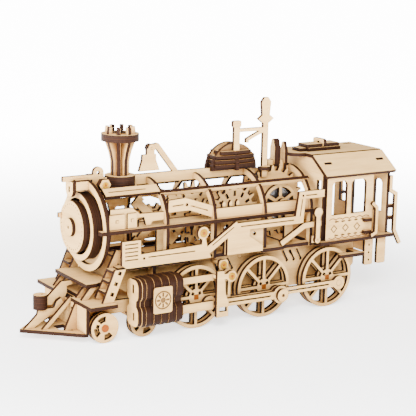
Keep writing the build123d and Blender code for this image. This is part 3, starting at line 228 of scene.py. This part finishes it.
def plywood(name, pale=(0.66, 0.425, 0.165), warm=(0.44, 0.245, 0.078), dark=(0.012, 0.0035, 0.001)):
    """Bare plywood: pale grained faces, burnt cut edges with the ply layers, scorched rims, painted shade in
    the hollows.
    """
    t = Tree(name)
    plate = t.attribute("plate").outputs["Vector"]
    cut = t.attribute("cut").outputs["Fac"]
    tone = t.attribute("tone").outputs["Fac"]
    split = t.add("ShaderNodeSeparateXYZ")
    t.put(plate, split.inputs[0])
    shifted = t.add("ShaderNodeVectorMath", operation="ADD")
    t.put(plate, shifted.inputs[0])
    combine = t.add("ShaderNodeCombineXYZ")
    t.put(t.math("MULTIPLY", tone, 0.7), combine.inputs[0])
    t.put(t.math("MULTIPLY", tone, 1.9), combine.inputs[1])
    t.put(combine.outputs[0], shifted.inputs[1])
    vector = shifted.outputs[0]
    fine = t.noise(t.stretch(vector, (55.0, 1500.0, 1.0)), 1.0, 4.0, 0.6)
    broad = t.noise(t.stretch(vector, (14.0, 160.0, 1.0)), 1.0, 2.0, 0.5)
    cloud = t.noise(vector, 28.0, 2.0, 0.5)
    grain = t.math("ADD", t.math("MULTIPLY", fine, 0.45), t.math("MULTIPLY", broad, 0.55))
    between = tuple(0.5 * (a + b) for a, b in zip(pale, warm))
    face = t.ramp(grain, [(0.30, warm), (0.47, between), (0.64, pale)])
    bleached = (pale[0] * 1.06, pale[1] * 1.03, pale[2] * 0.98, 1)
    face = t.mix(t.math("MULTIPLY", cloud, 0.35), face, bleached)
    toned = t.ramp(tone, [(0.0, (0.90, 0.87, 0.82)), (0.5, (1.0, 0.99, 0.97)), (1.0, (1.06, 1.05, 1.04))])
    face = t.mix(1.0, face, toned, "MULTIPLY")
    depth = t.math("FRACT", t.math("SUBTRACT", split.outputs[2], 0.0001))
    layers = t.ramp(depth, [(0.0, (0.040, 0.012, 0.003)), (0.12, (0.024, 0.007, 0.0018)),
                            (0.33, (0.007, 0.002, 0.0006)), (0.50, (0.034, 0.010, 0.0025)),
                            (0.67, (0.006, 0.0018, 0.0005)), (0.88, (0.024, 0.007, 0.0018)),
                            (1.0, (0.046, 0.014, 0.0035))])
    scorch = t.noise(plate, 420.0, 3.0, 0.6)
    burnt = t.mix(t.math("MULTIPLY", scorch, 0.7), layers, (*dark, 1))
    bevel = t.add("ShaderNodeBevel", samples=4)
    bevel.inputs["Radius"].default_value = 0.0007
    flat = t.add("ShaderNodeVectorMath", operation="DOT_PRODUCT")
    t.put(bevel.outputs[0], flat.inputs[0])
    t.put(t.add("ShaderNodeNewGeometry").outputs["Normal"], flat.inputs[1])
    halo = t.ramp(flat.outputs["Value"], [(0.80, (1, 1, 1)), (0.985, (0, 0, 0))])
    face = t.mix(t.math("MULTIPLY", halo, 0.88), face, (0.075, 0.024, 0.007, 1))
    inside = t.math("MULTIPLY", t.math("GREATER_THAN", depth, 0.06), t.math("LESS_THAN", depth, 0.94))
    face = t.mix(t.math("MULTIPLY", inside, 0.8), face, (0.050, 0.014, 0.004, 1))
    side = t.ramp(cut, [(0.12, (0, 0, 0)), (0.30, (1, 1, 1))])
    # painted shade: ambient occlusion darkens the colour in hollows and between parts, where shade falls
    hollow = t.add("ShaderNodeAmbientOcclusion", samples=6)
    hollow.inputs["Distance"].default_value = 0.022
    painted_shade = t.ramp(hollow.outputs["AO"], [(0.15, (0.34, 0.25, 0.18)), (0.72, (1, 1, 1))])
    colour = t.mix(1.0, t.mix(side, face, burnt), painted_shade, "MULTIPLY")
    t.put(colour, t.shader.inputs["Base Color"])
    t.put(t.math("ADD", t.math("MULTIPLY", grain, 0.14), 0.56), t.shader.inputs["Roughness"])
    t.shader.inputs["Specular IOR Level"].default_value = 0.10
    bump = t.add("ShaderNodeBump")
    bump.inputs["Strength"].default_value = 0.16
    bump.inputs["Distance"].default_value = 0.00012
    t.put(grain, bump.inputs["Height"])
    t.put(bump.outputs[0], t.shader.inputs["Normal"])
    return t.material


def moulded(name, colour, deep, rough=0.3):
    """Smooth moulded plastic with a faint flow pattern."""
    t = Tree(name)
    where = t.add("ShaderNodeTexCoord").outputs["Object"]
    flow = t.noise(where, 260.0, 3.0, 0.5)
    t.put(t.ramp(flow, [(0.3, deep), (0.7, colour)]), t.shader.inputs["Base Color"])
    t.put(t.math("ADD", t.math("MULTIPLY", flow, 0.12), rough - 0.05), t.shader.inputs["Roughness"])
    t.shader.inputs["Specular IOR Level"].default_value = 0.15
    return t.material


def steel(name, tint=(0.46, 0.46, 0.47)):
    """Rolled strip: fine lines along the length."""
    t = Tree(name)
    where = t.add("ShaderNodeTexCoord").outputs["Object"]
    lines = t.noise(t.stretch(where, (300.0, 4200.0, 300.0)), 1.0, 3.0, 0.6)
    t.put(t.ramp(lines, [(0.3, tuple(0.62 * c for c in tint)), (0.7, tint)]), t.shader.inputs["Base Color"])
    t.put(t.math("ADD", t.math("MULTIPLY", lines, 0.18), 0.26), t.shader.inputs["Roughness"])
    t.shader.inputs["Metallic"].default_value = 1.0
    return t.material


PLY_FACE = plywood("plywood")
YELLOW = moulded("yellow_plastic", (0.33, 0.165, 0.0), (0.26, 0.12, 0.0))
ORANGE = moulded("orange_plastic", (0.24, 0.055, 0.0), (0.18, 0.036, 0.0))
STAIN = moulded("orange_stain", (0.17, 0.042, 0.0), (0.10, 0.022, 0.0), 0.7)
SCORCH = moulded("scorched_line", (0.12, 0.042, 0.012), (0.08, 0.026, 0.007), 0.8)
STEEL = steel("spring_steel")

for name, obj in nodes.items():
    add_plate_data(obj)
    obj.data.materials.clear()
    obj.data.materials.append({"mainspring": STEEL, "yellow_caps": YELLOW}.get(name, PLY_FACE))


def paint(node, material, inside):
    """Gives the faces of a CAD node that pass a test their own material slot."""
    mesh = nodes[node].data
    mesh.materials.append(material)
    for polygon in mesh.polygons:
        if inside(polygon.center):
            polygon.material_index = len(mesh.materials) - 1


# the square axle ends and the hubs of the small wheels are stained orange
for label in ("front", "main", "rear"):
    low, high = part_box(f"{label}_drive_wheels")
    hub = (low + high) / 2
    paint(f"{label}_drive_axle", STAIN,
          lambda p, c=hub: abs(p.y) > 0.0371 and math.hypot(p.x - c.x, p.z - c.z) < 0.0029)
for label in ("front", "rear"):
    low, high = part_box(f"{label}_pilot_wheels")
    hub = (low + high) / 2
    paint(f"{label}_pilot_wheels", ORANGE,
          lambda p, c=hub: abs(p.y) > 0.0401 and math.hypot(p.x - c.x, p.z - c.z) < 0.0031)


# ---------------------------------------------------------------- plastic caps
def add_piece(name, bm, materials, body="locomotive"):
    mesh = bpy.data.meshes.new(name)
    bmesh.ops.recalc_face_normals(bm, faces=bm.faces)
    bm.to_mesh(mesh)
    bm.free()
    for material in materials:
        mesh.materials.append(material)
    obj = bpy.data.objects.new(name, mesh)
    bpy.context.scene.collection.objects.link(obj)
    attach(obj, body)
    return obj


def turned(bm, x, z, side, profile, material=0, segments=32):
    """A turned form on an axis across the locomotive; profile holds (radius, y) in mm, inner end first."""
    rings = []
    for r, y in profile:
        ring = []
        for i in range(segments):
            a = 2 * math.pi * i / segments
            place = Vector((x + r * math.cos(a), side * y, z + r * math.sin(a)))
            ring.append(bm.verts.new(place * MM))
        rings.append(ring)
    for low_ring, high_ring in zip(rings, rings[1:]):
        for i in range(segments):
            j = (i + 1) % segments
            face = bm.faces.new((low_ring[i], low_ring[j], high_ring[j], high_ring[i]))
            face.material_index = material
            face.smooth = True
    bm.faces.new(rings[0][::-1]).material_index = material
    bm.faces.new(rings[-1]).material_index = material


def make_caps():
    """Domed caps with a dished middle and an orange button."""
    for name, x, z, r, y0, y1, stem in (
        ("lever_pin_cap", 14.4, 45.0, 3.2, 54.7, 56.1, 44.3),
        ("hook_cap", 15.5, 52.4, 3.2, 43.6, 44.8, 43.6),
        ("fascia_cap", 36.0, 81.7, 3.4, 43.6, 45.0, 43.6),
        ("lamp_cap", 112.2, 123.2, 2.5, 15.0, 16.4, 15.0),
    ):
        for side, label in ((1, "left"), (-1, "right")):
            bm = bmesh.new()
            h = y1 - y0
            profile = [(r * 0.96, y0), (r, y0 + 0.15 * h), (r, y0 + 0.55 * h), (r * 0.94, y0 + 0.85 * h),
                       (r * 0.80, y1), (r * 0.66, y1), (r * 0.60, y1 - 0.22 * h), (r * 0.40, y1 - 0.30 * h)]
            turned(bm, x, z, side, profile)
            button = [(r * 0.36, y1 - 0.32 * h), (r * 0.34, y1 - 0.12 * h), (r * 0.22, y1 - 0.02 * h)]
            turned(bm, x, z, side, button, 1, 20)
            if stem < y0:
                turned(bm, x, z, side, [(1.5, stem), (1.5, y0)], 0, 20)
            cap = add_piece(f"{label}_{name}", bm, [YELLOW, ORANGE])
            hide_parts("yellow_caps")


make_caps()


# ---------------------------------------------------------------- engraved border on the cab sides
def ribbon(bm, points, y, side, width=0.8, lift=0.04):
    """A closed thin strip that follows a line in (x, z), lying on a cab side."""
    points = [Vector((p[0], 0, p[1])) for p in points]
    left, right = [], []
    for i, p in enumerate(points):
        along = (points[min(i + 1, len(points) - 1)] - points[max(i - 1, 0)]).normalized()
        out = Vector((-along.z, 0, along.x)) * width / 2
        left.append(p + out)
        right.append(p - out)
    rows = []
    for line, level in ((left, y), (left, y + lift), (right, y + lift), (right, y)):
        rows.append([bm.verts.new((p.x * MM, side * level * MM, p.z * MM)) for p in line])
    for a, b in zip(rows, rows[1:] + rows[:1]):
        for i in range(len(points) - 1):
            bm.faces.new((a[i], a[i + 1], b[i + 1], b[i]))
    for i in (0, -1):
        bm.faces.new([row[i] for row in rows])


def make_cab_borders():
    """A scalloped line above and below the row of diamonds, with small buds between the scallops."""
    for side, label in ((1, "left"), (-1, "right")):
        bm = bmesh.new()
        for base, way in ((78.2, 1), (62.4, -1)):
            line = []
            for i in range(97):
                u = i / 96
                line.append((-141.5 + 45.0 * u, base + way * 1.3 * abs(math.sin(math.pi * 6 * u))))
            ribbon(bm, line, 41.0, side)
            for k in range(5):
                x = -141.5 + 45.0 * (k + 1) / 6
                ring = [(x + 0.9 * math.cos(a), base - way * 1.7 + 0.9 * math.sin(a))
                        for a in (2 * math.pi * j / 12 for j in range(13))]
                ribbon(bm, ring, 41.0, side, 0.4)
        border = add_piece(f"{label}_cab_border", bm, [SCORCH])


make_cab_borders()


# ---------------------------------------------------------------- floor, light and camera
def studio():
    """A white floor that glows more with distance, a white surround and three soft lights."""
    floor_mesh = bpy.data.meshes.new("floor")
    bm = bmesh.new()
    bmesh.ops.create_grid(bm, x_segments=2, y_segments=2, size=6.0)
    bm.to_mesh(floor_mesh)
    bm.free()
    floor = bpy.data.objects.new("floor", floor_mesh)
    bpy.context.scene.collection.objects.link(floor)
    floor.location.z = -0.0002
    t = Tree("floor_paper")
    where = t.add("ShaderNodeTexCoord").outputs["Object"]
    spots = t.noise(where, 30.0, 2.0, 0.5)
    paper = t.ramp(spots, [(0.0, (0.93, 0.93, 0.93)), (1.0, (0.95, 0.95, 0.95))])
    t.put(paper, t.shader.inputs["Base Color"])
    t.shader.inputs["Roughness"].default_value = 0.9
    t.put((1.0, 1.0, 1.0, 1.0), t.shader.inputs["Emission Color"])
    reach = t.add("ShaderNodeVectorMath", operation="LENGTH")
    t.put(where, reach.inputs[0])
    glow = t.add("ShaderNodeMapRange", interpolation_type="SMOOTHSTEP")
    t.put(reach.outputs["Value"], glow.inputs["Value"])
    for key, value in (("From Min", 0.15), ("From Max", 1.1), ("To Min", 1.8), ("To Max", 14.0)):
        glow.inputs[key].default_value = value
    t.put(glow.outputs[0], t.shader.inputs["Emission Strength"])
    floor_mesh.materials.append(t.material)

    world = bpy.data.worlds.new("studio")
    bpy.context.scene.world = world
    world.use_nodes = True
    background = world.node_tree.nodes["Background"]
    background.inputs[0].default_value = (1.0, 1.0, 1.0, 1)
    path = world.node_tree.nodes.new("ShaderNodeLightPath")
    seen = world.node_tree.nodes.new("ShaderNodeMapRange")
    seen.inputs["To Min"].default_value = 0.25       # light on the model
    seen.inputs["To Max"].default_value = 14.0       # white paper behind it
    world.node_tree.links.new(path.outputs["Is Camera Ray"], seen.inputs["Value"])
    world.node_tree.links.new(seen.outputs[0], background.inputs[1])

    for name, place, aim, size, power in (
        ("key", (0.75, 1.25, 1.05), (0.0, 0.0, 0.08), 0.8, 92.0),
        ("fill", (1.45, 0.25, 0.55), (0.05, 0.0, 0.08), 0.8, 58.0),
        ("back", (-0.7, -0.6, 1.0), (0.0, 0.0, 0.1), 0.9, 10.0),
    ):
        data = bpy.data.lights.new(name, "AREA")
        data.shape = "DISK"
        data.size = size
        data.energy = power
        light = bpy.data.objects.new(name, data)
        light.location = place
        light.rotation_euler = (Vector(aim) - Vector(place)).to_track_quat("-Z", "Y").to_euler()
        bpy.context.scene.collection.objects.link(light)


def camera():
    """Three-quarter view from the left front, slightly above."""
    heading, pitch, roll = math.radians(32.745), math.radians(11.945), math.radians(1.284)
    level = math.cos(pitch)
    forward = Vector((-math.sin(heading) * level, -math.cos(heading) * level, -math.sin(pitch)))
    right = forward.cross(Vector((0, 0, 1))).normalized()
    up = right.cross(forward)
    across = math.cos(roll) * right + math.sin(roll) * up
    above = -math.sin(roll) * right + math.cos(roll) * up
    data = bpy.data.cameras.new("camera")
    data.sensor_width = 36.0
    data.lens = LENS
    data.clip_start, data.clip_end = 0.05, 50.0
    cam = bpy.data.objects.new("camera", data)
    matrix = Matrix((across, above, -forward)).transposed().to_4x4()
    matrix.translation = CAMERA_PLACE
    cam.matrix_world = matrix
    bpy.context.scene.collection.objects.link(cam)
    bpy.context.scene.camera = cam


studio()
camera()
